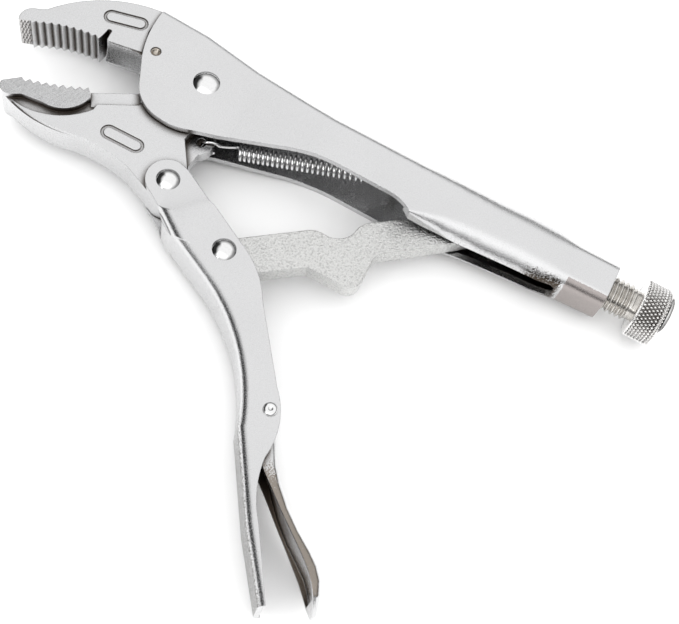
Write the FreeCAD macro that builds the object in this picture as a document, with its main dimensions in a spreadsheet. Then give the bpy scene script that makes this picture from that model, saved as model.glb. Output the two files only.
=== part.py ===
import FreeCAD, Part
import Sketcher
import math
import os

# Locking pliers with curved jaws and a wire cutter, lying on their side with the lever fully open.
# X runs along the fixed handle from the jaws to the knob, Z is the thickness of the tool.
# Every outline below is drawn about the main pivot; each sub-part's Placement moves it into
# the part frame, whose origin is the middle of the underside.

os.makedirs("parts", exist_ok=True)
doc = FreeCAD.newDocument("locking_pliers")
sheet = doc.addObject("Spreadsheet::Sheet", "Sizes")

SIZES = {
    # place of the main pivot in the part frame
    "pivot_x": -50.3, "pivot_y": 60.1, "pivot_z": 11.1,
    # linkage: lever pivot, link pivot, release pivot and link end, seen from the main pivot
    "lever_pivot_x": 6.8, "lever_pivot_y": -36.8,
    "link_pivot_x": 33.1, "link_pivot_y": -49.9,
    "release_pivot_x": 68.4, "release_pivot_y": -88.0,
    "link_end_x": 100.5, "screw_axis_y": 2.9,
    "jaw_pin_x": -19.4, "jaw_pin_y": 1.9,
    # thicknesses, all across the tool
    "jaw_block": 13.0, "jaw_body": 11.0, "jaw_core": 8.6, "jaw_tang": 11.7, "spring_tongue": 4.0,
    "link_plate": 6.2,
    # pressed steel channels
    "wall": 2.0, "front_width": 15.8, "middle_width": 22.0, "rear_width": 18.0, "collar_width": 16.0,
    "lever_lobe_width": 15.6, "lever_lobe_gap": 11.6, "lever_width": 18.8, "lever_wall": 1.8,
    "release_width": 13.4, "release_gap": 10.6,
    # rivets and pin
    "rivet_shank": 3.0, "main_head": 4.3, "lever_head": 3.7, "small_shank": 1.5, "small_head": 2.2,
    "head_height": 1.7, "small_head_height": 1.1, "pin_radius": 1.7, "running_gap": 0.05,
    # adjusting screw
    "thread_radius": 5.9, "thread_root": 4.9, "thread_pitch": 1.75, "knob_radius": 9.6,
    "knob_start": 153.0, "knob_length": 9.6, "collar_end": 143.0, "screw_tip": 106.8,
    # return spring
    "spring_radius": 2.1, "spring_wire": 0.5,
}
for row, (name, value) in enumerate(SIZES.items(), start=1):
    sheet.set(f"A{row}", name)
    sheet.set(f"B{row}", str(value))
    sheet.setAlias(f"B{row}", name)
doc.recompute()


def size(name):
    return float(sheet.get(name))


def vec(x, y, z=0.0):
    return FreeCAD.Vector(x, y, z)


PIVOT = vec(size("pivot_x"), size("pivot_y"), size("pivot_z"))
LEVER_PIVOT = vec(size("lever_pivot_x"), size("lever_pivot_y"))
LINK_PIVOT = vec(size("link_pivot_x"), size("link_pivot_y"))
RELEASE_PIVOT = vec(size("release_pivot_x"), size("release_pivot_y"))
LINK_END = vec(size("link_end_x"), size("screw_axis_y"))
JAW_PIN = vec(size("jaw_pin_x"), size("jaw_pin_y"))
nodes = []


# ---------------------------------------------------------------- helpers

def new_body(label, at=vec(0, 0)):
    body = doc.addObject("PartDesign::Body", label)
    body.Label = label
    body.Placement = FreeCAD.Placement(PIVOT + at, FreeCAD.Rotation())
    nodes.append(body)
    return body


def new_sketch(body, name, plane="XY_Plane", offset=None):
    sketch = body.newObject("Sketcher::SketchObject", name)
    origin_plane = [f for f in body.Origin.OriginFeatures if f.Role == plane][0]
    sketch.AttachmentSupport = [(origin_plane, "")]
    sketch.MapMode = "FlatFace"
    if offset:
        sketch.AttachmentOffset = offset
    return sketch


def outline(sketch, start, *steps):
    """Closed outline. A step is the next corner, or (middle, end) of an arc."""
    here = vec(*start)
    for step in list(steps) + [start]:
        if isinstance(step[0], tuple):
            end = vec(*step[1])
            sketch.addGeometry(Part.Arc(here, vec(*step[0]), end), False)
        else:
            end = vec(*step)
            if end.distanceToPoint(here) > 1e-6:
                sketch.addGeometry(Part.LineSegment(here, end), False)
        here = end


def circle(sketch, centre, radius_alias, extra=""):
    """Round outline whose radius is bound to the sheet."""
    index = sketch.addGeometry(Part.Circle(vec(centre.x, centre.y), vec(0, 0, 1), 1.0), False)
    number = sketch.addConstraint(Sketcher.Constraint("Radius", index, 1.0))
    sketch.renameConstraint(number, f"round{index}")
    sketch.setExpression(f"Constraints.round{index}", f"Sizes.{radius_alias}{extra}")


def pad(body, sketch, expression, middle=True, reverse=False):
    feature = body.newObject("PartDesign::Pad", "Pad_" + sketch.Name)
    feature.Profile = sketch
    feature.Midplane = middle
    feature.Reversed = reverse
    feature.setExpression("Length", expression)
    body.Tip = feature
    return feature


def pocket(body, sketch, expression):
    feature = body.newObject("PartDesign::Pocket", "Pocket_" + sketch.Name)
    feature.Profile = sketch
    feature.Midplane = True
    feature.setExpression("Length", expression)
    body.Tip = feature
    return feature


def drill(body, name, centres, radius_alias, extra=" + Sizes.running_gap"):
    sketch = new_sketch(body, name)
    for centre in centres:
        circle(sketch, centre, radius_alias, extra)
    pocket(body, sketch, "3 * Sizes.middle_width")


def loft(body, kind, sketches):
    feature = body.newObject("PartDesign::" + kind, kind + "_" + sketches[0].Name)
    feature.Profile = sketches[0]
    feature.Sections = sketches[1:]
    feature.Ruled = True
    body.Tip = feature
    return feature


def soften(body, name, radius, corners, face):
    """Round the edges between the given corners of the outline on both faces of the tip."""
    doc.recompute()

    def wanted(edge):
        ends = [v.Point for v in edge.Vertexes]
        level = len(ends) == 2 and abs(ends[0].z - ends[1].z) < 0.01
        return level and all(
            abs(abs(p.z) - face) < 0.01 and any(abs(p.x - x) + abs(p.y - y) < 0.01 for x, y in corners)
            for p in ends)

    base = body.Tip
    names = [f"Edge{i}" for i, edge in enumerate(base.Shape.Edges, start=1) if wanted(edge)]
    rounding = body.newObject("PartDesign::Fillet", name)
    rounding.Base = (base, names)
    rounding.Radius = radius
    body.Tip = rounding


def round_run(body, name, start, end, radius, face):
    """Round the outer edges of a straight wall from start to end, metal lying to the right."""
    run = vec(end[0] - start[0], end[1] - start[1])
    middle = vec(*start) + run * 0.5
    turn = math.degrees(math.atan2(run.y, run.x))
    offset = FreeCAD.Placement(vec(middle.y, 0, middle.x), FreeCAD.Rotation(vec(0, 1, 0), turn))
    bend = radius * (1 - math.sqrt(0.5))
    for side, level in (("Near", 1), ("Far", -1)):
        sketch = new_sketch(body, name + side, "YZ_Plane", offset)
        outline(sketch, (0, level * (face - radius)),
                ((-bend, level * (face - bend)), (-radius, level * face)),
                (-radius, level * (face + 1)), (1, level * (face + 1)), (1, level * (face - radius)))
        pocket(body, sketch, f"{run.Length:.2f} mm")


def ridge(body, name, start, end, *section):
    """Wire-cutter edge: a bar from start to end, its crest the last (distance to the left, half
    thickness) of the section."""
    run = vec(end[0] - start[0], end[1] - start[1])
    turn = math.degrees(math.atan2(run.y, run.x))
    offset = FreeCAD.Placement(vec(start[1], 0, start[0]), FreeCAD.Rotation(vec(0, 1, 0), turn))
    sketch = new_sketch(body, name, "YZ_Plane", offset)
    *sides, crest = section
    outline(sketch, *sides, crest, *[(distance, -half) for distance, half in reversed(sides)])
    pad(body, sketch, f"{run.Length:.2f} mm", middle=False)


def tooth_row(first, last, bulge, count, depth):
    """Crest and root points of a tooth row along a shallow arc from first to last."""
    along = vec(last[0] - first[0], last[1] - first[1])
    side = vec(-along.y, along.x).normalize()
    points = []
    for step in range(2 * count + 1):
        part = step / (2 * count)
        height = 4 * bulge * part * (1 - part) + (depth if step % 2 == 0 else 0)
        spot = vec(*first) + along * part + side * height
        points.append((spot.x, spot.y))
    return points


# ---------------------------------------------------------------- fixed handle

def channel_section(body, name, x, half, top, bottom, top_round, bottom_round):
    """Rounded four-sided section of the handle across X."""
    sketch = new_sketch(body, name, "YZ_Plane", FreeCAD.Placement(vec(0, 0, x), FreeCAD.Rotation()))
    bend = 1 - math.sqrt(0.5)
    upper = top_round * bend
    lower = bottom_round * bend
    outline(
        sketch, (top, half - top_round),
        ((top - upper, half - upper), (top - top_round, half)),
        (bottom + bottom_round, half),
        ((bottom + lower, half - lower), (bottom, half - bottom_round)),
        (bottom, bottom_round - half),
        ((bottom + lower, lower - half), (bottom + bottom_round, -half)),
        (top - top_round, -half),
        ((top - upper, upper - half), (top, top_round - half)),
    )
    return sketch


def fixed_handle():
    body = new_body("fixed_handle")
    front = size("front_width") / 2
    middle = size("middle_width") / 2
    rear = size("rear_width") / 2
    collar = size("collar_width") / 2
    axis = size("screw_axis_y")
    wall = size("wall")
    end = size("collar_end")
    # x, half width, top, bottom, top rounding, bottom rounding
    stations = [
        (-30.0, front, 18.5, -21.0, 2.6, 0.3),
        (-8.0, front, 17.2, -21.0, 2.6, 0.3),
        (12.0, front, 13.6, -21.0, 2.6, 0.3),
        (30.0, middle - 1.2, 10.9, -21.0, 3.0, 0.3),
        (42.0, middle, 9.4, -21.0, 3.4, 0.3),
        (74.0, middle, 9.5, -10.4, 4.4, 0.3),
        (86.0, middle - 0.4, 10.9, -9.2, 6.0, 5.6),
        (100.0, rear + 1.0, 12.6, -8.6, 8.4, 8.4),
        (112.0, rear + 0.6, 13.4, -8.0, 9.0, 8.8),
        (121.0, rear + 0.2, 13.3, -7.6, 8.6, 8.4),
        (130.0, collar + 0.2, 10.3, axis - collar - 0.5, 4.0, 5.0),
        (end, collar, 10.0, axis - collar, 3.4, 4.6),
    ]
    outer = [channel_section(body, f"HandleOuter{i}", *s) for i, s in enumerate(stations)]
    loft(body, "AdditiveLoft", outer)
    doc.recompute()
    # open part of the channel, then the rolled part
    inner = []
    for i, (x, half, top, _, upper, _) in enumerate(stations[:6]):
        x_cut = x - 1.0 if i == 0 else x
        inner.append(channel_section(body, f"HandleInner{i}", x_cut, half - wall, top - wall,
                                     -25.0, max(upper - wall, 0.5), 0.3))
    loft(body, "SubtractiveLoft", inner)
    rolled = []
    for i, (x, half, top, bottom, upper, lower) in enumerate(stations[5:11]):
        rolled.append(channel_section(body, f"HandleRolled{i}", x, half - wall, top - wall,
                                      bottom + wall, max(upper - wall, 0.5), max(lower - wall, 0.3)))
    loft(body, "SubtractiveLoft", rolled)
    doc.recompute()
    # slot that the link works in
    slot = new_sketch(body, "HandleSlot", "XZ_Plane",
                      FreeCAD.Placement(vec(0, 0, 10.0), FreeCAD.Rotation()))
    outline(slot, (73.0, -7.4), (82.0, -5.2), (94.0, -4.0), (126.0, -3.5), (127.4, -2.4),
            (127.4, 2.4), (126.0, 3.5), (94.0, 4.0), (82.0, 5.2), (73.0, 7.4))
    pocket(body, slot, "16 mm")
    # smooth bore that the screw runs in
    bore = new_sketch(body, "ScrewBore", "YZ_Plane",
                      FreeCAD.Placement(vec(0, 0, end), FreeCAD.Rotation()))
    circle(bore, vec(axis, 0), "thread_radius", " + Sizes.running_gap")
    pocket(body, bore, "2 * 38 mm")
    # lower edge of the flanges and the round front
    edge = new_sketch(body, "FlangeEdge")
    outline(edge, (-25.2, 30.0), (-25.2, 16.6), ((-24.9, 8.0), (-22.3, -2.0)), (-18.2, -10.8),
            ((-13.6, -16.6), (-6.2, -19.2)), ((-1.4, -19.4), (3.4, -18.2)), (31.0, -9.6),
            ((41.0, -7.1), (52.0, -6.5)), (68.0, -6.9), ((73.0, -8.0), (77.0, -10.6)),
            (77.0, -40.0), (-60.0, -40.0), (-60.0, 30.0))
    pocket(body, edge, "3 * Sizes.middle_width")
    # lanced tab inside the web that holds the rear hook of the spring
    tab = new_sketch(body, "SpringTab")
    outline(tab, (67.0, 8.2), (67.0, 2.6), (68.6, 2.6), (68.6, 8.2))
    pad(body, tab, "3 mm")
    # relief nick across the web where the squared collar begins
    nick = new_sketch(body, "WebNick")
    outline(nick, (127.3, 13.0), (127.8, 9.8), (128.3, 9.8), (128.8, 13.0))
    pocket(body, nick, "3 * Sizes.middle_width")
    drill(body, "MainRivetHole", [vec(0, 0)], "rivet_shank")
    drill(body, "JawPinHole", [JAW_PIN], "pin_radius", "")
    return body


# ---------------------------------------------------------------- jaws

def upper_jaw():
    body = new_body("upper_jaw")
    head = new_sketch(body, "UpperHead")
    teeth = tooth_row((-58.6, -8.0), (-38.0, -1.8), 1.3, 9, -1.1)
    outline(head, (-25.7, 17.3), ((-43.0, 11.6), (-57.0, -1.6)), (-59.4, -3.0),
            ((-62.4, -5.0), (-62.6, -9.6)), (-59.2, -8.2), *teeth, (-37.3, -1.4),
            (-36.9, 1.4), ((-36.2, 2.4), (-35.5, 1.4)), (-35.2, -1.5), (-34.4, -1.7), (-23.4, 0.2),
            (-25.5, 8.0))
    pad(body, head, "Sizes.jaw_block")
    tang = new_sketch(body, "UpperTang")
    outline(tang, (-28.0, 15.8), (-28.0, -0.6), (-16.4, -0.5), (-10.6, 2.4),
            ((-6.2, 8.9), (1.5, 10.8)), (4.0, 12.4), (-9.0, 15.0))
    pad(body, tang, "Sizes.jaw_tang")
    ridge(body, "UpperCutter", (-22.4, 0.37), (-34.4, -1.7),
          (-0.5, 5.9), (0.1, 5.9), (1.4, 4.1), (3.4, 0.0))
    # recessed panel on both faces
    for name, level in (("UpperPanelNear", 1), ("UpperPanelFar", -1)):
        panel(body, name, (-38.4, 7.0), (-29.4, 9.4), 2.6, level * size("jaw_block") / 2)
    drill(body, "UpperPinHole", [JAW_PIN], "pin_radius", "")
    return body


def panel(body, name, left, right, radius, face):
    """Shallow recess with round ends in a jaw face, with a plain bar left standing in it."""
    sketch = new_sketch(body, name, "XY_Plane",
                        FreeCAD.Placement(vec(0, 0, face), FreeCAD.Rotation()))
    run = vec(right[0] - left[0], right[1] - left[1]).normalize()
    side = vec(-run.y, run.x) * radius
    a, b = vec(*left), vec(*right)
    outline(sketch, tuple(a + side)[:2], (tuple(a - run * radius)[:2], tuple(a - side)[:2]),
            tuple(b - side)[:2], (tuple(b + run * radius)[:2], tuple(b + side)[:2]))
    inset = side * 0.62
    tip = run * radius * 0.62
    outline(sketch, tuple(a + inset)[:2], (tuple(a - tip)[:2], tuple(a - inset)[:2]),
            tuple(b - inset)[:2], (tuple(b + tip)[:2], tuple(b + inset)[:2]))
    pocket(body, sketch, "0.8 mm")


def lower_jaw():
    body = new_body("lower_jaw")
    core = new_sketch(body, "LowerCore")
    outline(core, (-54.0, -31.6), (-49.6, -29.0), (-31.0, -22.0), (-27.8, -24.2), (-15.6, -17.2),
            (-11.4, -8.6), (-9.2, -3.4), ((0.0, 9.8), (9.2, -3.4)), (3.8, -17.4), (3.5, -20.4), (10.6, -31.2),
            ((13.4, -38.4), (5.0, -43.4)), (-6.6, -38.2), ((-17.0, -36.4), (-27.0, -36.8)),
            ((-40.0, -38.0), (-52.4, -34.8)))
    pad(body, core, "Sizes.jaw_core")
    cheek = new_sketch(body, "LowerCheek")
    outline(cheek, (-48.8, -35.8), ((-36.0, -34.4), (-25.8, -25.8)), (-25.8, -23.6), (-14.6, -17.2),
            (-11.0, -8.6), (-9.2, -3.4), ((0.0, 9.8), (9.2, -3.4)), (3.8, -17.4), (3.5, -20.4), (10.6, -31.2),
            ((13.4, -38.4), (5.0, -43.4)), (-6.6, -38.2), ((-17.0, -36.4), (-27.0, -36.8)),
            ((-38.0, -37.9), (-48.8, -35.8)))
    pad(body, cheek, "Sizes.jaw_body")
    block = new_sketch(body, "LowerBlock")
    teeth = tooth_row((-49.6, -28.9), (-30.4, -21.4), -0.6, 8, 1.2)
    outline(block, (-54.6, -31.8), *teeth, (-28.4, -22.8), ((-31.0, -28.8), (-40.0, -32.2)),
            (-47.0, -33.0), (-50.0, -34.9), ((-53.4, -34.6), (-54.6, -33.2)))
    pad(body, block, "Sizes.jaw_block")
    ridge(body, "LowerCutter", (-27.4, -24.7), (-14.1, -16.8), (-0.5, 4.7), (4.7, 4.7), (6.9, 0.0))
    tongue = new_sketch(body, "SpringTongue")
    outline(tongue, (8.0, -4.0), (11.2, -14.4), ((11.4, -18.4), (9.0, -21.4)), (8.4, -26.8),
            (6.0, -26.0), (2.0, -18.0))
    pad(body, tongue, "Sizes.spring_tongue")
    for name, level in (("LowerPanelNear", 1), ("LowerPanelFar", -1)):
        panel(body, name, (-17.6, -30.4), (-8.2, -30.4), 2.6, level * size("jaw_body") / 2)
    drill(body, "LowerPivotHoles", [vec(0, 0), LEVER_PIVOT], "rivet_shank")
    drill(body, "SpringHole", [vec(7.8, -17.0)], "small_shank")
    return body


# ---------------------------------------------------------------- lever, link and release lever

LEVER_TURN = -51.7          # direction of the lever just behind its pivot, degrees
RELEASE_TURN = -42.5        # direction of the release lever, degrees


def lever():
    body = new_body("lever")
    plate = new_sketch(body, "LeverSide")
    outline(plate, (10.6, -30.9), (36.0, -45.2), ((44.0, -50.4), (51.0, -59.2)), (67.0, -81.0),
            ((72.6, -90.2), (73.6, -101.0)), ((75.6, -109.6), (80.6, -118.4)), (92.8, -137.4),
            (91.0, -138.4), (77.6, -120.4), (62.4, -96.4), ((50.4, -75.4), (32.0, -60.4)),
            (17.0, -52.6), ((13.0, -50.6), (9.6, -47.0)), (4.4, -43.4), ((-0.1, -35.4), (6.8, -29.8)))
    pad(body, plate, "Sizes.lever_width")
    soften(body, "LeverBend", 3.2, [(91.0, -138.4), (77.6, -120.4), (62.4, -96.4), (32.0, -60.4),
                                    (17.0, -52.6)], size("lever_width") / 2)
    round_run(body, "LeverBendEnd", (20.5, -55.4), (8.6, -46.4), 3.2, size("lever_width") / 2)
    hollow = new_sketch(body, "LeverHollow")
    outline(hollow, (20.6, -30.0), (52.0, -47.0), (82.0, -80.0), (82.0, -100.0),
            (84.0, -118.6), (95.6, -137.4), (92.6, -137.9), (79.0, -119.6), (63.9, -95.6),
            ((51.7, -74.1), (33.0, -58.9)), (18.0, -51.1), (14.2, -45.6))
    pocket(body, hollow, "Sizes.lever_width - 2 * Sizes.lever_wall")
    gap = new_sketch(body, "LobeGap")
    outline(gap, (-4.0, -26.0), (30.0, -30.0), (30.0, -44.0), (18.0, -51.0), (14.6, -49.6),
            (11.0, -49.6), (4.0, -52.0), (-4.0, -48.0))
    pocket(body, gap, "Sizes.lever_lobe_gap")
    # step from the lobes out to the full width
    along = math.radians(LEVER_TURN)
    for name, level in (("JoggleNear", 1), ("JoggleFar", -1)):
        step = new_sketch(body, name, "XZ_Plane", FreeCAD.Placement(
            vec(0, 0, 0), FreeCAD.Rotation(vec(0, 1, 0), LEVER_TURN)))
        base = LEVER_PIVOT.x * math.cos(along) + LEVER_PIVOT.y * math.sin(along)
        lobe = size("lever_lobe_width") / 2
        full = size("lever_width") / 2 + 1.0
        rise = size("lever_width") / 2 - lobe
        outline(step, (base - 20.0, level * lobe), (base + 8.8, level * lobe),
                (base + 11.4, level * (lobe + rise)), (base + 11.4, level * full),
                (base - 20.0, level * full))
        pocket(body, step, "200 mm")
    drill(body, "LeverPivotHole", [LEVER_PIVOT, LINK_PIVOT], "rivet_shank")
    drill(body, "LeverReleaseHole", [RELEASE_PIVOT], "small_shank")
    return body


def toggle_link():
    """Drawn along its own axis from the link pivot to the end under the screw."""
    body = new_body("toggle_link", LINK_PIVOT)
    run = LINK_END - LINK_PIVOT
    turn = math.degrees(math.atan2(run.y, run.x))
    body.Placement = FreeCAD.Placement(PIVOT + LINK_PIVOT, FreeCAD.Rotation(vec(0, 0, 1), turn))
    reach = run.Length
    plate = new_sketch(body, "LinkSide")
    outline(plate, (0.0, -6.2), (25.0, -6.2), (34.0, -13.2), ((37.4, -14.9), (40.4, -13.6)),
            (44.6, -8.2), ((47.0, -5.6), (50.4, -4.8)), (58.0, -4.8), (reach, -3.8),
            ((reach + 3.8, 0.0), (reach, 3.8)), (74.0, 5.6), (48.0, 6.2), ((44.6, 5.4), (42.0, 3.4)),
            ((37.0, 2.0), (32.4, 4.2)), ((29.8, 5.8), (26.6, 6.2)), (0.0, 6.2), ((-6.2, 0.0), (0.0, -6.2)))
    pad(body, plate, "Sizes.link_plate")
    drill(body, "LinkHole", [vec(0, 0)], "rivet_shank")
    return body


def release_lever():
    """Small channel that nests in the lever and widens to a spoon, drawn along its own axis."""
    body = new_body("release_lever", RELEASE_PIVOT)
    body.Placement = FreeCAD.Placement(PIVOT + RELEASE_PIVOT,
                                       FreeCAD.Rotation(vec(0, 0, 1), RELEASE_TURN))
    wall = (size("release_width") - size("release_gap")) / 2
    half = size("release_width") / 2
    # x, half width, top, bottom, top rounding, bottom rounding
    stations = [
        (-5.0, half, 3.2, -3.2, 1.8, 0.3), (0.0, half, 1.9, -5.6, 1.8, 0.3),
        (7.4, half + 0.1, -0.6, -7.6, 2.0, 0.3), (15.0, half + 0.5, -3.1, -7.5, 2.0, 0.3),
        (21.0, half + 0.8, -4.2, -7.2, 1.8, 0.3), (28.0, half + 1.4, -4.7, -7.0, 1.5, 0.3),
        (35.0, half + 2.3, -4.4, -6.6, 1.4, 0.3), (41.5, half + 3.3, -3.5, -6.3, 1.7, 0.3),
        (46.0, half + 3.6, -3.1, -6.2, 1.8, 0.3), (50.0, half + 3.3, -3.6, -6.5, 1.7, 0.3),
        (53.5, half + 1.5, -4.9, -7.1, 1.4, 0.3), (56.2, half - 2.0, -6.2, -7.8, 0.8, 0.3),
        (57.6, 2.2, -7.0, -8.2, 0.5, 0.3),
    ]
    outer = [channel_section(body, f"ReleaseOuter{i}", *s) for i, s in enumerate(stations)]
    loft(body, "AdditiveLoft", outer)
    doc.recompute()
    inner = []
    for i, (x, half, top, _, upper, _) in enumerate(stations[:-2]):
        x_cut = x - 1.0 if i == 0 else x
        inner.append(channel_section(body, f"ReleaseInner{i}", x_cut, half - wall, top - wall,
                                     -14.0, max(upper - wall, 0.4), 0.3))
    loft(body, "SubtractiveLoft", inner)
    drill(body, "ReleaseHole", [vec(0, 0)], "small_shank")
    return body


# ---------------------------------------------------------------- rivets, pin and spacers

def rivet(label, at, shank, head, height, grip):
    """Solid rivet across the tool with a low domed head on each side, turned about its axis."""
    body = new_body(label, at)
    profile = new_sketch(body, label + "_profile", "XZ_Plane")
    half = size(grip) / 2
    rise = half + size(height)
    ball = (size(head) ** 2 + size(height) ** 2) / (2 * size(height))
    brow = (size(head) / 2, rise - ball + math.sqrt(ball ** 2 - size(head) ** 2 / 4))
    outline(profile, (0.0, -rise), ((brow[0], -brow[1]), (size(head), -half)), (size(shank), -half),
            (size(shank), half), (size(head), half), (brow, (0.0, rise)))
    hold(profile, 2, "DistanceX", shank, "stem")
    hold(profile, 3, "DistanceX", shank, "stem_top")
    turned = body.newObject("PartDesign::Revolution", label + "_turned")
    turned.Profile = profile
    turned.ReferenceAxis = (profile, ["V_Axis"])
    turned.Angle = 360.0
    body.Tip = turned
    return body


def hold(sketch, segment, kind, alias, name):
    """Bind the start point of a segment to the sheet."""
    value = size(alias)
    number = sketch.addConstraint(Sketcher.Constraint(kind, -1, 1, segment, 1, value))
    sketch.renameConstraint(number, name)
    sketch.setExpression(f"Constraints.{name}", f"Sizes.{alias}")


def jaw_pin():
    pin = doc.addObject("Part::Cylinder", "jaw_pin")
    pin.Label = "jaw_pin"
    pin.setExpression("Radius", "Sizes.pin_radius")
    pin.setExpression("Height", "Sizes.front_width - 1")
    half = (size("front_width") - 1.0) / 2
    pin.Placement = FreeCAD.Placement(PIVOT + JAW_PIN - vec(0, 0, half), FreeCAD.Rotation())
    nodes.append(pin)


def link_spacer(label, level):
    """Loose collar that keeps the link in the middle of the lever."""
    body = new_body(label, LINK_PIVOT)
    inner = size("link_plate") / 2 + 0.1
    outer = size("lever_width") / 2 - size("lever_wall") - 0.1
    ring = new_sketch(body, label + "_ring", "XY_Plane", FreeCAD.Placement(
        vec(0, 0, level * inner), FreeCAD.Rotation()))
    circle(ring, vec(0, 0), "rivet_shank", " * 1.7")
    circle(ring, vec(0, 0), "rivet_shank", " + Sizes.running_gap")
    pad(body, ring, f"{outer - inner:.3f} mm", middle=False, reverse=level < 0)
    return body


# ---------------------------------------------------------------- adjusting screw and spring

def screw_shank():
    """Shank with its crests as rings; the axis is the body's own X."""
    body = new_body("screw_shank", vec(0, size("screw_axis_y")))
    profile = new_sketch(body, "ThreadProfile")
    tip = size("screw_tip")
    root = size("thread_root")
    crest = size("thread_radius")
    pitch = size("thread_pitch")
    last = size("knob_start")
    points = [(tip, 0.0), (tip, root - 1.0), (tip + 1.0, root)]
    count = int((last - 4.0 - tip - 1.0) / pitch)
    for turn in range(count):
        left = tip + 1.0 + turn * pitch
        points += [(left + 0.42 * pitch, crest), (left + 0.58 * pitch, crest), (left + pitch, root)]
    points += [(last, root), (last, 0.0)]
    outline(profile, *points)
    turned = body.newObject("PartDesign::Revolution", "ThreadTurned")
    turned.Profile = profile
    turned.ReferenceAxis = (profile, ["H_Axis"])
    turned.Angle = 360.0
    body.Tip = turned
    return body


def screw_knob():
    """Grip with a bevelled shoulder and a rounded edge to its flat end, turned about its own X."""
    body = new_body("screw_knob", vec(0, size("screw_axis_y")))
    start = size("knob_start")
    end = start + size("knob_length")
    radius = size("knob_radius")
    profile = new_sketch(body, "KnobProfile")
    outline(profile, (start, 0.0), (start, radius - 0.6), (start + 0.6, radius), (end, radius),
            ((end + 1.0, radius - 0.5), (end + 1.4, radius - 1.6)), (end + 1.4, 0.0))
    hold(profile, 2, "DistanceY", "knob_radius", "grip")
    turned = body.newObject("PartDesign::Revolution", "KnobTurned")
    turned.Profile = profile
    turned.ReferenceAxis = (profile, ["H_Axis"])
    turned.Angle = 360.0
    body.Tip = turned
    return body


def return_spring():
    """Extension spring from the jaw's tongue to the tab in the handle, drawn along its own axis."""
    front = vec(7.8, -17.0)
    back = vec(67.8, 4.6)
    run = back - front
    turn = math.degrees(math.atan2(run.y, run.x))
    coil = size("spring_radius")
    wire = size("spring_wire")
    front_loop, back_loop = 3.0, 3.3
    first = 2 * front_loop - 0.4
    last = run.Length + 1.8 - 2 * back_loop + 0.4
    coil_start, coil_end = 12.5, run.Length - 8.0
    shape = Part.makeCylinder(coil + wire, coil_end - coil_start, vec(coil_start, 0, 0), vec(1, 0, 0))
    core = Part.makeCylinder(coil - wire, coil_end - coil_start - 2.0, vec(coil_start + 1.0, 0, 0),
                             vec(1, 0, 0))
    shape = shape.cut(core)
    for start, end in ((first, coil_start + 0.5), (coil_end - 0.5, last)):
        shape = shape.fuse(Part.makeCylinder(wire, end - start, vec(start, 0, 0), vec(1, 0, 0)))
    # a ring through the tongue's hole and a ring round the tab
    for centre, radius in ((front_loop, front_loop), (run.Length + 1.8 - back_loop, back_loop)):
        shape = shape.fuse(Part.makeTorus(radius, wire, vec(centre, 0, 0), vec(0, 1, 0)))
    spring = doc.addObject("Part::Feature", "return_spring")
    spring.Label = "return_spring"
    spring.Shape = shape
    spring.Placement = FreeCAD.Placement(PIVOT + front, FreeCAD.Rotation(vec(0, 0, 1), turn))
    nodes.append(spring)


fixed_handle()
upper_jaw()
jaw_pin()
rivet("main_rivet", vec(0, 0), "rivet_shank", "main_head", "head_height", "front_width")
lower_jaw()
rivet("lever_rivet", LEVER_PIVOT, "rivet_shank", "lever_head", "head_height", "lever_lobe_width")
lever()
rivet("link_rivet", LINK_PIVOT, "rivet_shank", "lever_head", "head_height", "lever_width")
rivet("release_rivet", RELEASE_PIVOT, "small_shank", "small_head", "small_head_height",
      "lever_width")
link_spacer("link_spacer_near", 1)
link_spacer("link_spacer_far", -1)
toggle_link()
release_lever()
screw_shank()
screw_knob()
return_spring()
doc.recompute()

for thing in doc.Objects:
    if "Invalid" in thing.State or "Error" in thing.State:
        raise RuntimeError(f"{thing.Label} failed: {thing.State}")
for node in nodes:
    if node.Shape.isNull() or not node.Shape.isValid():
        raise RuntimeError(f"{node.Label} has no valid shape")
    node.Shape.exportStep(f"parts/{node.Label}.step")
    box = node.Shape.BoundBox
    print(f"{node.Label:18s} {node.Shape.Volume:9.0f} mm3  x {box.XMin:7.1f} {box.XMax:7.1f}"
          f"  y {box.YMin:7.1f} {box.YMax:7.1f}  z {box.ZMin:6.1f} {box.ZMax:6.1f}"
          f"  solids {len(node.Shape.Solids)}")
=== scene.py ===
"""Locking pliers lying open on a pale surface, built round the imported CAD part."""

import math

import bpy
from mathutils import Matrix, Vector


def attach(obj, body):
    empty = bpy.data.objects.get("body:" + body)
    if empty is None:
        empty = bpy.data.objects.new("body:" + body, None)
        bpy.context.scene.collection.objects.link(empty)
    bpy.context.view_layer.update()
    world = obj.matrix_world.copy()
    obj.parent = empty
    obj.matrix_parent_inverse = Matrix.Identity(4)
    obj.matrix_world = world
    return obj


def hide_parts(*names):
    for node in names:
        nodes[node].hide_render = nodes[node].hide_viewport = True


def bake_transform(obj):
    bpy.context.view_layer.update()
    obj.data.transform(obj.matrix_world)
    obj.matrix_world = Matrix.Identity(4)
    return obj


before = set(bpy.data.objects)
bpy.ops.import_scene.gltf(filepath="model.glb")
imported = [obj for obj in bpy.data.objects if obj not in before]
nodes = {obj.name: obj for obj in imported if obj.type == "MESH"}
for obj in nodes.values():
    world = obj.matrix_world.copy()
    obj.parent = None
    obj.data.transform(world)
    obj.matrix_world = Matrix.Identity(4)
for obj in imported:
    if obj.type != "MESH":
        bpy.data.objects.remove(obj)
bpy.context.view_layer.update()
scene = bpy.context.scene

MM = 0.001
PIVOT = Vector((-0.0503, 0.0601, 0.0111))      # main pivot, from which the drawings measure
SCREW_AXIS = 2.9                               # height of the screw's axis over the main pivot, mm


def at(x, y, z=0.0):
    """Point given in millimetres from the main pivot."""
    return PIVOT + Vector((x, y, z)) * MM


# ---------------------------------------------------------------- camera

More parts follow.
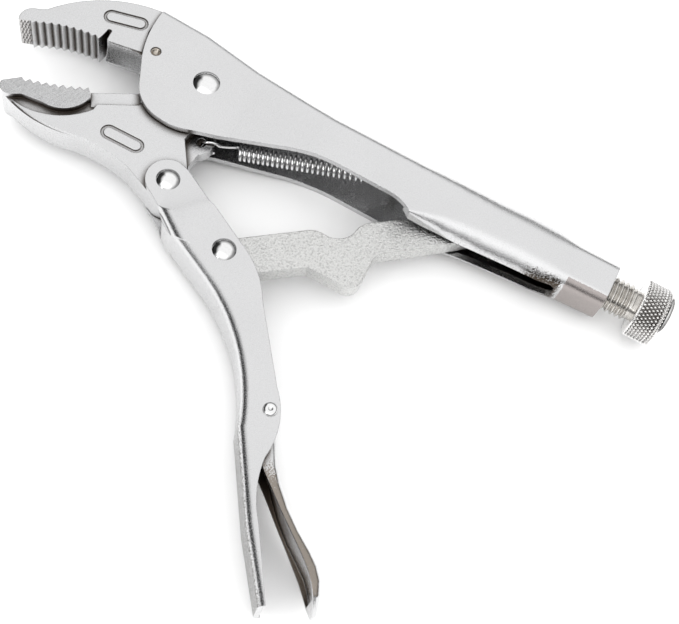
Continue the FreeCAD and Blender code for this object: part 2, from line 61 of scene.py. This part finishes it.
def make_camera():
    data = bpy.data.cameras.new("camera")
    data.sensor_width = 36.0
    data.lens = 66.27
    data.clip_start, data.clip_end = 0.02, 20.0
    camera = bpy.data.objects.new("camera", data)
    scene.collection.objects.link(camera)
    place = Vector((0.0425, -0.1487, 0.3544))
    aim = Vector((0.02142, 0.01367, 0.0111))
    turn = (aim - place).to_track_quat("-Z", "Y").to_matrix().to_4x4()
    roll = Matrix.Rotation(math.radians(20.62), 4, "Z")
    camera.matrix_world = Matrix.Translation(place) @ turn @ roll
    scene.camera = camera


make_camera()


# ---------------------------------------------------------------- node helpers

class Tree:
    """Short calls for building a node tree."""

    def __init__(self, tree):
        self.tree = tree

    def node(self, kind, **values):
        made = self.tree.nodes.new(kind)
        for key, value in values.items():
            setattr(made, key, value)
        return made

    def link(self, source, target):
        self.tree.links.new(source, target)

    def feed(self, target, value):
        if isinstance(value, bpy.types.NodeSocket):
            self.link(value, target)
        else:
            target.default_value = value

    def maths(self, operation, *inputs, clamp=False):
        made = self.node("ShaderNodeMath", operation=operation, use_clamp=clamp)
        for socket, value in zip(made.inputs, inputs):
            self.feed(socket, value)
        return made.outputs[0]

    def remap(self, value, low, high, to_low=0.0, to_high=1.0):
        made = self.node("ShaderNodeMapRange", interpolation_type="SMOOTHSTEP")
        for name, given in (("Value", value), ("From Min", low), ("From Max", high),
                            ("To Min", to_low), ("To Max", to_high)):
            self.feed(made.inputs[name], given)
        return made.outputs["Result"]

    def mix(self, factor, first, second):
        made = self.node("ShaderNodeMix", data_type="RGBA")
        self.feed(made.inputs[0], factor)
        for socket, value in ((made.inputs[6], first), (made.inputs[7], second)):
            self.feed(socket, (*value, 1) if isinstance(value, tuple) else value)
        return made.outputs[2]

    def dot(self, vector, direction):
        made = self.node("ShaderNodeVectorMath", operation="DOT_PRODUCT")
        self.link(vector, made.inputs[0])
        made.inputs[1].default_value = direction
        return made.outputs["Value"]

    def noise(self, coords, scale, detail=2.0, stretch=(1, 1, 1), turn=0.0, rough=0.5):
        """Noise whose features are about 1/scale of a metre across, stretched along turned axes."""
        mapping = self.node("ShaderNodeMapping", vector_type="TEXTURE")
        mapping.inputs["Rotation"].default_value = (0, 0, turn)
        mapping.inputs["Scale"].default_value = stretch
        self.link(coords, mapping.inputs["Vector"])
        made = self.node("ShaderNodeTexNoise")
        self.link(mapping.outputs[0], made.inputs["Vector"])
        made.inputs["Scale"].default_value = scale
        made.inputs["Detail"].default_value = detail
        made.inputs["Roughness"].default_value = rough
        return made.outputs["Fac"]


# ---------------------------------------------------------------- light and floor

SKY = 1.19                                     # brightness of the tent straight overhead


def area_light(name, place, aim, width, height, power):
    data = bpy.data.lights.new(name, "AREA")
    data.shape = "RECTANGLE"
    data.size, data.size_y = width, height
    data.energy = power
    lamp = bpy.data.objects.new(name, data)
    scene.collection.objects.link(lamp)
    lamp.location = place
    lamp.rotation_euler = (Vector(aim) - Vector(place)).to_track_quat("-Z", "Y").to_euler()


def make_world():
    """Even light on the paper. What the metal mirrors is a white tent overhead and in front,
    grey behind, and dark flags low down and at the sides, the right one much fainter."""
    world = bpy.data.worlds.new("studio")
    scene.world = world
    world.use_nodes = True
    t = Tree(world.node_tree)
    back = world.node_tree.nodes["Background"]
    back.inputs["Color"].default_value = (1, 1, 1, 1)
    spot = t.node("ShaderNodeTexCoord")
    split = t.node("ShaderNodeSeparateXYZ")
    t.link(spot.outputs["Generated"], split.inputs[0])
    x, y, z = split.outputs
    level = t.maths("SQRT", t.maths("SUBTRACT", 1.0001, t.maths("MULTIPLY", z, z)))
    sides = t.remap(t.maths("DIVIDE", t.maths("ABSOLUTE", x), level), 0.55, 0.92)
    sides = t.maths("MULTIPLY", sides, t.remap(x, -0.25, 0.25, 1.0, 0.35))
    wall = t.remap(sides, 0.0, 1.0, 0.50, 0.03)
    wall = t.maths("MULTIPLY", wall, t.remap(z, 0.03, 0.30, 0.12, 1.0))
    front = t.remap(y, -0.50, -0.15, 0.34, 0.0)
    sky = t.maths("ADD", front, SKY)
    rise = t.remap(z, t.remap(sides, 0.0, 1.0, 0.28, 0.52), t.remap(sides, 0.0, 1.0, 0.62, 0.88))
    blend = t.node("ShaderNodeMix", data_type="FLOAT")
    t.feed(blend.inputs[0], rise)
    t.feed(blend.inputs[2], wall)
    t.feed(blend.inputs[3], sky)
    seen = t.node("ShaderNodeLightPath")
    even = t.maths("ADD", 0.98, t.maths("MULTIPLY", seen.outputs["Is Diffuse Ray"],
                                        t.remap(z, 0.1, 0.8, 0.15, 0.74)))
    shown = t.node("ShaderNodeMix", data_type="FLOAT")
    t.feed(shown.inputs[0], seen.outputs["Is Glossy Ray"])
    t.feed(shown.inputs[2], even)
    t.feed(shown.inputs[3], blend.outputs[0])
    t.link(shown.outputs[0], back.inputs["Strength"])


def make_studio():
    scene.view_settings.view_transform = "Standard"
    make_world()
    area_light("sparkle", (-0.30, -0.75, 0.45), (0, 0, 0), 0.16, 0.16, 0.5)
    bpy.ops.mesh.primitive_plane_add(size=8.0, location=(0, 0, 0))
    floor = bpy.context.object
    floor.name = "floor"
    paper = bpy.data.materials.new("paper")
    paper.use_nodes = True
    bsdf = paper.node_tree.nodes["Principled BSDF"]
    bsdf.inputs["Base Color"].default_value = (0.95, 0.95, 0.95, 1)
    bsdf.inputs["Roughness"].default_value = 1.0
    bsdf.inputs["Specular IOR Level"].default_value = 0.0
    floor.data.materials.append(paper)


make_studio()


# ---------------------------------------------------------------- materials

def metal(name, colour, rough, grain=0.12, grain_size=0.25, blotch=0.04, peppered=0.16,
          edge=0, streak=None, painted_shade=None, reach=0.012, nook=(0.12, 0.50), painted_reflections=()):
    """Plated steel. grain: bump of the blasted skin, features grain_size mm across.
    peppered: how far the pits of that skin darken.
    edge: radius in mm that the sharp edges are worn to.
    streak: stretch and turn of a ground finish, and the half thickness in mm above which it lies.
    painted_shade: colour of painted shade in nooks within reach metres of other metal.
    painted_reflections: speckled patches of painted dark reflection, each the way that its skin
    faces with the two limits, and the line that it lies along with its four limits in metres."""
    mat = bpy.data.materials.new(name)
    mat.use_nodes = True
    t = Tree(mat.node_tree)
    bsdf = mat.node_tree.nodes["Principled BSDF"]
    bsdf.inputs["Metallic"].default_value = 1.0
    place = t.node("ShaderNodeTexCoord")
    coords = place.outputs["Object"]
    broad = t.noise(coords, 55.0, 4.0)
    fine = t.noise(coords, 1000.0 / grain_size, 3.0)
    tone = t.mix(t.remap(broad, 0.35, 0.65), tuple(c * (1 - blotch) for c in colour), colour)
    tone = t.mix(t.remap(fine, 0.45, 0.72, 0.0, peppered), tone, tuple(c * 0.72 for c in colour))
    gloss = t.maths("ADD", t.remap(fine, 0.3, 0.7, rough - 0.04, rough + 0.05),
                    t.remap(broad, 0.3, 0.7, 0.0, blotch * 0.5), clamp=True)
    height = fine
    if streak:
        stretch, turn, above = streak
        lines = t.noise(coords, 1500.0, 2.0, stretch, turn)
        level = t.maths("ABSOLUTE", t.maths("SUBTRACT", t.dot(coords, (0, 0, 1)), PIVOT.z))
        on = t.remap(level, (above - 0.1) * MM, above * MM)
        height = t.maths("ADD", fine, t.maths("MULTIPLY", t.maths("MULTIPLY", lines, 2.2), on))
        worn = t.maths("MULTIPLY", t.remap(lines, 0.35, 0.65, 0.0, 0.30), on)
        tone = t.mix(worn, tone, tuple(c * 0.6 for c in colour))
    # painted dark reflection: skin that faces the given way along the given stretch is speckled
    # darker
    for facing, (out, full), along, (first, on, off, last), shade in painted_reflections:
        turned_to = t.remap(t.dot(place.outputs["Normal"], facing), out, full)
        run = t.dot(coords, along)
        within = t.maths("MULTIPLY", t.remap(run, first, on), t.remap(run, off, last, 1.0, 0.0))
        cover = t.maths("MULTIPLY", turned_to, within)
        specks = t.maths("ADD", t.noise(coords, 2600.0, 2.0, rough=0.7),
                         t.maths("MULTIPLY", cover, 0.66))
        tone = t.mix(t.remap(specks, 0.86, 1.02), tone, shade)
    # painted shade: nooks that the ambient occlusion finds are darkened towards the shade colour
    if painted_shade:
        occlusion = t.node("ShaderNodeAmbientOcclusion", samples=8)
        occlusion.inputs["Distance"].default_value = reach
        shade_mix = t.remap(occlusion.outputs["AO"], *nook, 1.0, 0.0)
        tone = t.mix(shade_mix, tone, painted_shade)
        gloss = t.maths("ADD", gloss, t.maths("MULTIPLY", shade_mix, 0.12), clamp=True)
    bump = t.node("ShaderNodeBump")
    bump.inputs["Strength"].default_value = grain
    bump.inputs["Distance"].default_value = grain_size * MM * 0.5
    t.link(height, bump.inputs["Height"])
    if edge:
        worn_edge = t.node("ShaderNodeBevel", samples=6)
        worn_edge.inputs["Radius"].default_value = edge * MM
        t.link(worn_edge.outputs[0], bump.inputs["Normal"])
    t.link(bump.outputs[0], bsdf.inputs["Normal"])
    t.link(tone, bsdf.inputs["Base Color"])
    t.link(gloss, bsdf.inputs["Roughness"])
    return mat


PLATED = (0.64, 0.64, 0.645)                   # colours
# colour of painted shade in nooks, and of a painted dark reflection on the handle
SHADE_BROWN = (0.060, 0.048, 0.038)
# this colour and the next two are colours of painted dark reflections
REFLECTION_DARK = (0.10, 0.095, 0.09)
REFLECTION_TAN = (0.34, 0.31, 0.30)
REFLECTION_UMBER = (0.27, 0.24, 0.21)
FRONT = (0.0, -1.0, 0.0)                       # ways that a patch of painted reflection faces
TOP = (0.0, 0.0, 1.0)
BEND = (-0.86, -0.51, 0.0)
REAR_WAY = (1.0, 0.0, 0.0)                     # lines that a patch of painted reflection lies along
LEVER_WAY = (0.35, -0.94, 0.0)

# the materials below darken their nooks with painted shade; the handle, lever and release lever
# also carry painted dark reflections
HANDLE = metal("satin_handle", PLATED, 0.24, 0.30, 0.30, blotch=0.02, edge=0.35,
               painted_shade=SHADE_BROWN, nook=(0.18, 0.58),
               painted_reflections=((FRONT, (0.40, 1.45), REAR_WAY, (0.010, 0.060, 0.078, 0.084), REFLECTION_DARK),
                     (FRONT, (0.25, 1.10), REAR_WAY, (0.056, 0.071, 0.077, 0.080), SHADE_BROWN),
                     (FRONT, (0.40, 0.55), REAR_WAY, (0.0785, 0.0795, 0.0935, 0.094), REFLECTION_TAN)))
LEVER = metal("satin_lever", PLATED, 0.24, 0.30, 0.30, blotch=0.02, edge=0.35,
              painted_shade=SHADE_BROWN,
              painted_reflections=((BEND, (0.20, 1.35), LEVER_WAY, (0.000, 0.050, 0.300, 0.400), REFLECTION_DARK),))
RELEASE = metal("satin_release", PLATED, 0.20, 0.30, 0.30, edge=0.3,
                painted_shade=(0.10, 0.078, 0.06), reach=0.014, nook=(0.35, 0.85),
                painted_reflections=((TOP, (0.55, 0.90), LEVER_WAY, (0.036, 0.058, 0.104, 0.116), REFLECTION_UMBER),))
FORGED = metal("satin_forging", (0.63, 0.63, 0.635), 0.25, 0.34, 0.30, blotch=0.02, edge=0.35,
               painted_shade=SHADE_BROWN, reach=0.0022, nook=(0.58, 0.93))
GROUND = metal("ground_forging", PLATED, 0.25, 0.34, 0.30, blotch=0.02, edge=0.4,
               painted_shade=SHADE_BROWN, reach=0.0035, nook=(0.52, 0.94),
               streak=((0.12, 4.0, 1.0), math.radians(-22), 6.4))
POINTS = metal("nose_points", (0.62, 0.61, 0.60), 0.25, 0.2, 0.2, painted_shade=SHADE_BROWN, reach=0.0012,
               nook=(0.45, 0.92))
BLASTED = metal("blasted_plate", (0.68, 0.68, 0.67), 0.28, 1.0, 0.65, blotch=0.06, peppered=1.0,
                edge=0.5)
POLISHED = metal("polished_rivet", (0.80, 0.80, 0.80), 0.06, 0.04, 0.5, painted_shade=SHADE_BROWN,
                 reach=0.0008, nook=(0.40, 0.80))
TURNED = metal("turned_screw", (0.62, 0.60, 0.57), 0.16, 0.15, 0.2, painted_shade=SHADE_BROWN, reach=0.002,
               streak=((0.15, 4.0, 4.0), 0.0, -1.0))
KNURLED = metal("knurled_knob", (0.92, 0.91, 0.90), 0.16, 0.15, 0.2, painted_shade=SHADE_BROWN, reach=0.0009,
                nook=(0.38, 0.74))
PIN = metal("pin_end", (0.46, 0.42, 0.37), 0.22, 0.15, 0.2)
WIRE = metal("spring_wire", (0.90, 0.90, 0.90), 0.14, 0.05, 0.2)
COLLAR = metal("spacer_collar", (0.35, 0.34, 0.33), 0.35, 0.2, 0.3)

LOOKS = {
    "fixed_handle": HANDLE, "lever": LEVER, "release_lever": RELEASE, "upper_jaw": FORGED,
    "lower_jaw": GROUND, "toggle_link": BLASTED, "main_rivet": POLISHED,
    "lever_rivet": POLISHED, "link_rivet": POLISHED,
    "link_spacer_near": COLLAR, "link_spacer_far": COLLAR,
}


def dress(obj, mat):
    obj.data.materials.clear()
    obj.data.materials.append(mat)


def weld(obj):
    """Join points that lie within a thousandth of a millimetre."""
    joined = obj.modifiers.new("weld", "WELD")
    joined.merge_threshold = 1e-6


def split_edges(obj, degrees):
    """Shade edges sharper than this as edges, and the rest smoothly."""
    split = obj.modifiers.new("split", "EDGE_SPLIT")
    split.split_angle = math.radians(degrees)


def soften(obj):
    """Weld the split corners of a CAD mesh and shade its curved faces smoothly."""
    weld(obj)
    split_edges(obj, 36)
    level = obj.modifiers.new("level", "WEIGHTED_NORMAL")
    level.keep_sharp = True
    level.weight = 80


for name, mat in LOOKS.items():
    dress(nodes[name], mat)
    soften(nodes[name])
for obj in nodes.values():
    for face in obj.data.polygons:
        face.use_smooth = True


# ---------------------------------------------------------------- new pieces

def mesh_object(name, points, faces, mat):
    mesh = bpy.data.meshes.new(name)
    mesh.from_pydata(points, [], faces)
    mesh.update()
    for face in mesh.polygons:
        face.use_smooth = True
    obj = bpy.data.objects.new(name, mesh)
    scene.collection.objects.link(obj)
    dress(obj, mat)
    return obj


def add_mesh(name, points, faces, mat, body, slot, *stands_for):
    """Mesh piece that rides on one body, with the CAD nodes that it stands for."""
    obj = mesh_object(name, points, faces, mat)
    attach(obj, body)
    if stands_for:
        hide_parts(*stands_for)
    return obj


def ring_faces(rings, around):
    """Quads that join each ring of points to the next."""
    faces = []
    for ring in range(rings - 1):
        for step in range(around):
            a, b = ring * around + step, ring * around + (step + 1) % around
            faces.append((a, b, b + around, a + around))
    return faces


def cap_ends(points, faces, rings, around, first, last):
    """Fans that close the two end rings on their middles."""
    for ring, middle in ((0, first), (rings - 1, last)):
        points.append(middle)
        for step in range(around):
            a, b = ring * around + step, ring * around + (step + 1) % around
            faces.append((a, b, len(points) - 1) if ring else (b, a, len(points) - 1))


def turned(name, rings, around, mat, body, slot, *stands_for):
    """Closed skin about the screw's axis. rings: [(x, radius or function of the angle)], in mm."""
    points = []
    for x, radius in rings:
        for step in range(around):
            angle = math.tau * step / around
            r = radius(angle) if callable(radius) else radius
            points.append(at(x, SCREW_AXIS + r * math.cos(angle), r * math.sin(angle)))
    faces = ring_faces(len(rings), around)
    cap_ends(points, faces, len(rings), around, at(rings[0][0], SCREW_AXIS),
             at(rings[-1][0], SCREW_AXIS))
    split_edges(add_mesh(name, points, faces, mat, body, slot, *stands_for), 40)


def make_thread():
    """Right-handed M12 x 1.75 thread that runs out into a plain neck."""
    start, end, neck = 106.8, 152.0, 153.2
    crest, root, pitch = 5.88, 4.9, 1.75
    rings_per_turn = 12
    run_out, run_in = 1.6, 1.5                 # lengths over which the thread's height fades

    def thread(x):
        fade = min(1.0, max(0.0, (end - x) / run_out)) * min(1.0, max(0.0, (x - start) / run_in))

        def radius(angle):
            phase = (x / pitch - angle / math.tau) % 1.0
            rise = 1.0 - abs(2.0 * phase - 1.0)          # 0 at the root, 1 at the crest
            shape = min(1.0, max(0.0, (rise - 0.12) / 0.70))
            return root + (crest - root) * shape * fade
        return radius

    rings = [(start, root - 1.0)]
    count = int((end - start) / pitch * rings_per_turn)
    rings += [(start + (end - start) * i / count, thread(start + (end - start) * i / count))
              for i in range(1, count + 1)]
    rings += [(neck - 0.01, root + 0.1), (neck, root + 0.1)]
    turned("thread", rings, 64, TURNED, "shank", "screw_steel", "screw_shank")


def make_knob():
    """Diamond-knurled grip with a bevelled shoulder and a crowned end."""
    start, end, radius = 153.0, 161.5, 9.6
    diamonds, depth = 46, 0.75
    slant = 0.62                               # a diamond's width over its length

    def knurl(x):
        edge = min((x - start - 0.5) / 0.5, (end - 0.2 - x) / 0.5, 1.0)

        def skin(angle):
            around = angle / math.tau * diamonds
            along = x / (math.tau * radius / diamonds) * slant
            a = abs(((around + along) % 1.0) - 0.5) * 2
            b = abs(((around - along) % 1.0) - 0.5) * 2
            height = min(1.0, min(a, b) * 1.5)
            return radius - depth + depth * height * max(0.0, edge)
        return skin

    rings = [(start, 5.2), (start, radius - 1.3), (start + 0.35, radius - 0.75)]
    count = 52
    rings += [(start + 0.5 + (end - start - 0.7) * i / count,
               knurl(start + 0.5 + (end - start - 0.7) * i / count)) for i in range(count + 1)]
    rings += [(end + 0.05, radius - 0.45), (end + 0.5, radius - 0.15), (end + 1.2, radius - 0.4),
              (end + 1.9, radius - 1.1), (end + 2.4, radius - 2.2), (end + 2.5, radius - 3.0),
              (end + 2.5, 4.0)]
    turned("knob", rings, diamonds * 8, KNURLED, "knob", "knob_steel", "screw_knob")


make_thread()
make_knob()


def tube(name, path, radius, sides, mat):
    """Round wire along a path of points, with its ends closed."""
    points = []
    side = None
    count = len(path)
    for i, here in enumerate(path):
        ahead = path[min(i + 1, count - 1)] - path[max(i - 1, 0)]
        ahead.normalize()
        if side is None:
            side = ahead.orthogonal()
        side = (side - ahead * side.dot(ahead)).normalized()
        up = ahead.cross(side)
        for step in range(sides):
            angle = math.tau * step / sides
            points.append(here + (side * math.cos(angle) + up * math.sin(angle)) * radius)
    faces = ring_faces(count, sides)
    cap_ends(points, faces, count, sides, path[0], path[-1])
    return mesh_object(name, points, faces, mat)


def make_spring():
    """Extension spring: a hook through the jaw's tongue, the coils, and a hook round the tab."""
    front, back = Vector((7.8, -17.0, 0.0)), Vector((67.8, 4.6, 0.0))
    along = (back - front).normalized()
    across = Vector((-along.y, along.x, 0.0))
    up = Vector((0, 0, 1))
    reach = (back - front).length
    coil, wire = 2.15, 0.48
    path = []

    def put(s, a, u):
        spot = front + along * s + across * a + up * u
        path.append(at(spot.x, spot.y, spot.z))

    first, last, turns = 12.0, reach - 7.0, 27
    per_turn = 18
    # hook: up through the hole and round the edge of the tongue, then back to the coils
    hook, leave, drift = 3.0, 5.6, 0.25
    for i in range(26):
        angle = math.radians(-120 + 270 * i / 25)
        put(hook - hook * math.cos(angle), drift * i / 25, hook * math.sin(angle))
    for i in range(1, 12):
        part = i / 12
        put(leave + (first - leave) * part, drift + (coil - drift) * part, 1.5 * (1 - part) ** 2)
    # coils, opening up towards the back
    for i in range(turns * per_turn + 1):
        part = i / (turns * per_turn)
        angle = math.tau * i / per_turn
        stretch = part * (0.86 + 0.14 * part)
        put(first + (last - first) * stretch, coil * math.cos(angle), coil * math.sin(angle))
    # rear hook round the tab
    hook, tail = 3.3, reach + 1.8
    for i in range(1, 10):
        part = i / 10
        put(last + (tail - 2 * hook - last) * part * 0.6, coil * (1 - part), 0.0)
    for i in range(28):
        angle = math.radians(-20 + 300 * i / 27)
        put(tail - hook - hook * math.cos(angle), 0.0, hook * math.sin(angle))
    spring = tube("spring_coils", path, wire * MM, 10, WIRE)
    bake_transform(spring)
    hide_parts("return_spring")


make_spring()


def revolved(name, x, y, profile, mat, body, slot, stands_for):
    """Closed skin about an axis across the tool. profile: (radius, level) in mm, near to far."""
    around = 40
    points = []
    for r, z in profile:
        for step in range(around):
            angle = math.tau * step / around
            points.append(at(x + r * math.cos(angle), y + r * math.sin(angle), z))
    faces = [(b, a, d, c) for a, b, c, d in ring_faces(len(profile), around)]
    obj = add_mesh(name, points, faces, mat, body, slot, stands_for)
    weld(obj)
    split_edges(obj, 50)


def make_button():
    """Small rivet with a punched dimple in its near head."""
    half = 9.4
    near = [(0.0, half + 0.72), (0.35, half + 0.74), (0.62, half + 0.95), (0.9, half + 1.1),
            (1.35, half + 1.05), (1.8, half + 0.82), (2.08, half + 0.5), (2.2, half + 0.1),
            (2.2, half - 0.02), (1.5, half - 0.02)]
    far = [(r, -z) for r, z in reversed(near[4:])]
    far += [(0.9, -half - 1.07), (0.5, -half - 1.09), (0.0, -half - 1.1)]
    revolved("button_rivet", 68.4, -88.0, near + far, POLISHED, "lever", "rivet_steel",
             "release_rivet")


def make_pin():
    """Jaw pin whose ends were punched hollow."""
    half = 7.35
    near = [(0.0, half - 1.2), (0.5, half - 1.1), (0.95, half - 0.8), (1.3, half - 0.4),
            (1.45, half - 0.15), (1.6, half - 0.1), (1.66, half - 0.3)]
    revolved("pin_cup", -19.4, 1.9, near + [(r, -z) for r, z in reversed(near)], PIN, "handle",
             "rivet_steel", "jaw_pin")


def make_nose_points():
    """Rows of small points on the flat nose of the upper jaw."""
    first, last = Vector((-62.5, -9.56)), Vector((-59.3, -8.24))
    along = (last - first).normalized()
    out = Vector((along.y, -along.x))
    pitch, high = 1.05, 0.60
    points, faces = [], []
    for row in range(9):
        for column in range(3):
            middle = first + along * (0.38 + 0.35 * (row % 2) + pitch * column)
            level = -5.72 + 1.43 * row
            corner = len(points)
            for a, c in ((-0.5, -0.5), (0.5, -0.5), (0.5, 0.5), (-0.5, 0.5)):
                spot = middle + along * pitch * 0.94 * a - out * 0.05
                points.append(at(spot.x, spot.y, level + 1.3 * c))
            tip = middle + out * high
            points.append(at(tip.x, tip.y, level))
            faces.append((corner + 3, corner + 2, corner + 1, corner))
            faces += [(corner + k, corner + (k + 1) % 4, corner + 4) for k in range(4)]
    obj = add_mesh("nose_points", points, faces, POINTS, "handle", "jaw_forging")
    for face in obj.data.polygons:
        face.use_smooth = False


make_button()
make_pin()
make_nose_points()
